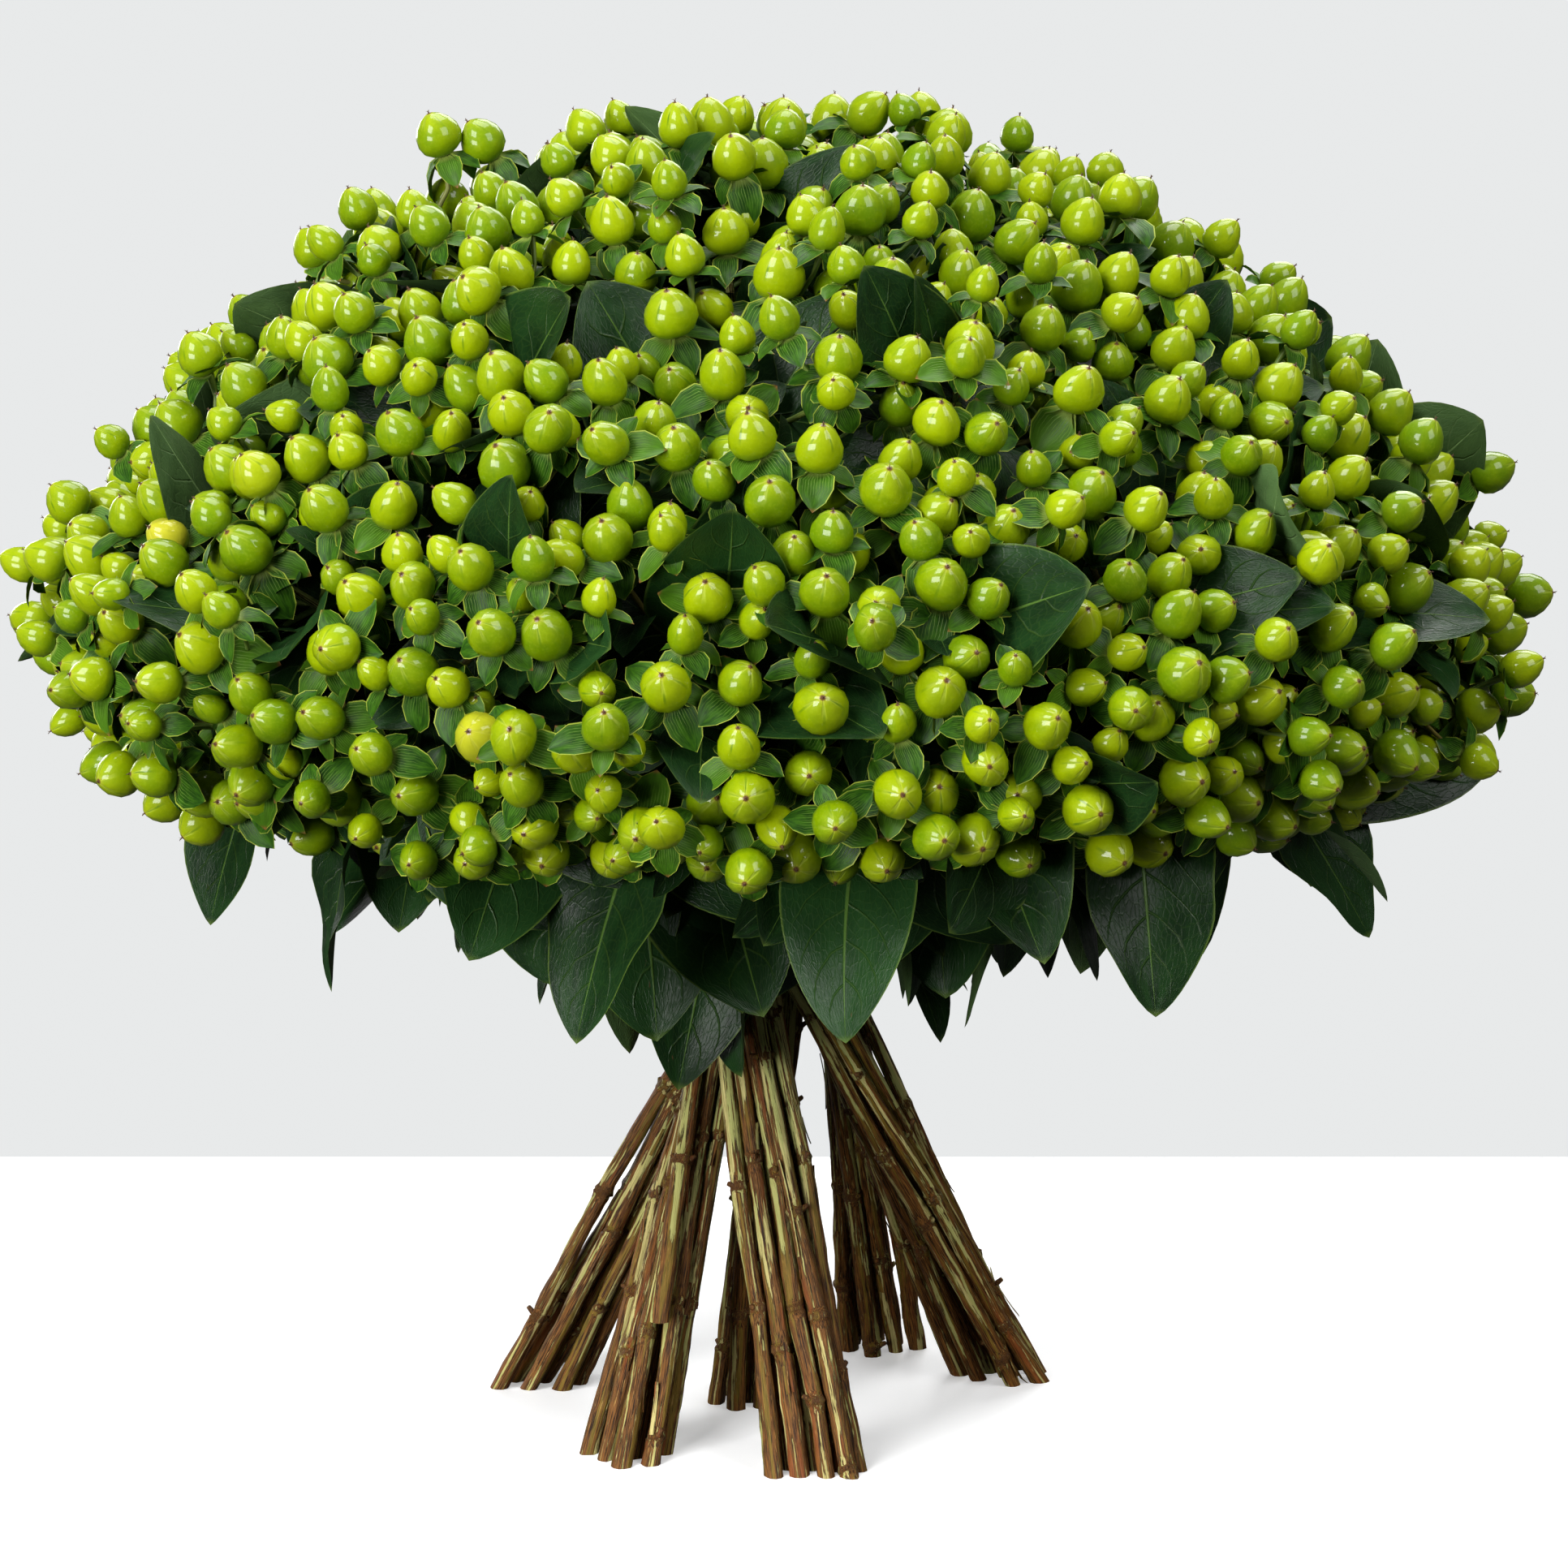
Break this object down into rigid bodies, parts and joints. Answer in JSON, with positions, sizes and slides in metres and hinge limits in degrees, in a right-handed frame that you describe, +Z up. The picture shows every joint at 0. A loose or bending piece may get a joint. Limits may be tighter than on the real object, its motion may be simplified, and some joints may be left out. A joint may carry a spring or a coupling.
{
  "type": "hypericum berry bunch",
  "caption": "Hand-tied spiral bunch of leafy stems with a wide dome of glossy green berries, standing unheld on the splayed cut ends of its woody stems.",
  "frame": {"origin": "on the surface the bunch stands on, under the middle of its box", "axes": "+Z up along the bunch from its cut ends to its berries, and -Y towards the side that the picture shows"},
  "size_m": [0.4116, 0.414, 0.3737],
  "materials": {
    "stem": "matt brown bark over paler wood",
    "berry": "glossy waxy green skin, standing in for a berry",
    "sepal": "soft satin green, standing in for a sepal",
    "leaf": "satin dark green, paler beneath, standing in for a leaf",
    "stalk": "satin green, standing in for a green young stalk",
    "twine": "matt twisted jute"
  },
  "bodies": {
    "root": {"leafy_stem_01": "stem", "leafy_stem_02": "stem", "leafy_stem_03": "stem", "leafy_stem_04": "stem", "leafy_stem_05": "stem", "leafy_stem_06": "stem", "leafy_stem_07": "stem", "leafy_stem_08": "stem", "leafy_stem_09": "stem", "leafy_stem_10": "stem", "leafy_stem_11": "stem", "leafy_stem_12": "stem", "leafy_stem_13": "stem", "leafy_stem_14": "stem", "leafy_stem_15": "stem", "leafy_stem_16": "stem", "leafy_stem_17": "stem", "leafy_stem_18": "stem", "leafy_stem_19": "stem", "leafy_stem_20": "stem", "leafy_stem_21": "stem", "leafy_stem_22": "stem", "leafy_stem_23": "stem", "leafy_stem_24": "stem", "leafy_stem_25": "stem", "leafy_stem_26": "stem", "leafy_stem_27": "stem", "leafy_stem_28": "stem", "leafy_stem_29": "stem", "leafy_stem_30": "stem", "leafy_stem_31": "stem", "leafy_stem_32": "stem", "leafy_stem_33": "stem", "leafy_stem_34": "stem", "leafy_stem_35": "stem", "leafy_stem_36": "stem", "leafy_stem_37": "stem", "leafy_stem_38": "stem", "leafy_stem_39": "stem", "leafy_stem_40": "stem", "leafy_stem_41": "stem", "leafy_stem_42": "stem", "leafy_stem_43": "stem", "leafy_stem_44": "stem", "leafy_stem_45": "stem", "leafy_stem_46": "stem", "leafy_stem_47": "stem", "leafy_stem_48": "stem", "leafy_stem_49": "stem", "leafy_stem_50": "stem", "leafy_stem_51": "stem", "leafy_stem_52": "stem", "leafy_stem_53": "stem", "leafy_stem_54": "stem", "leafy_stem_55": "stem", "leafy_stem_56": "stem", "leafy_stem_57": "stem", "leafy_stem_58": "stem", "leafy_stem_59": "stem", "tie": "twine"}
  },
  "joints": []
}
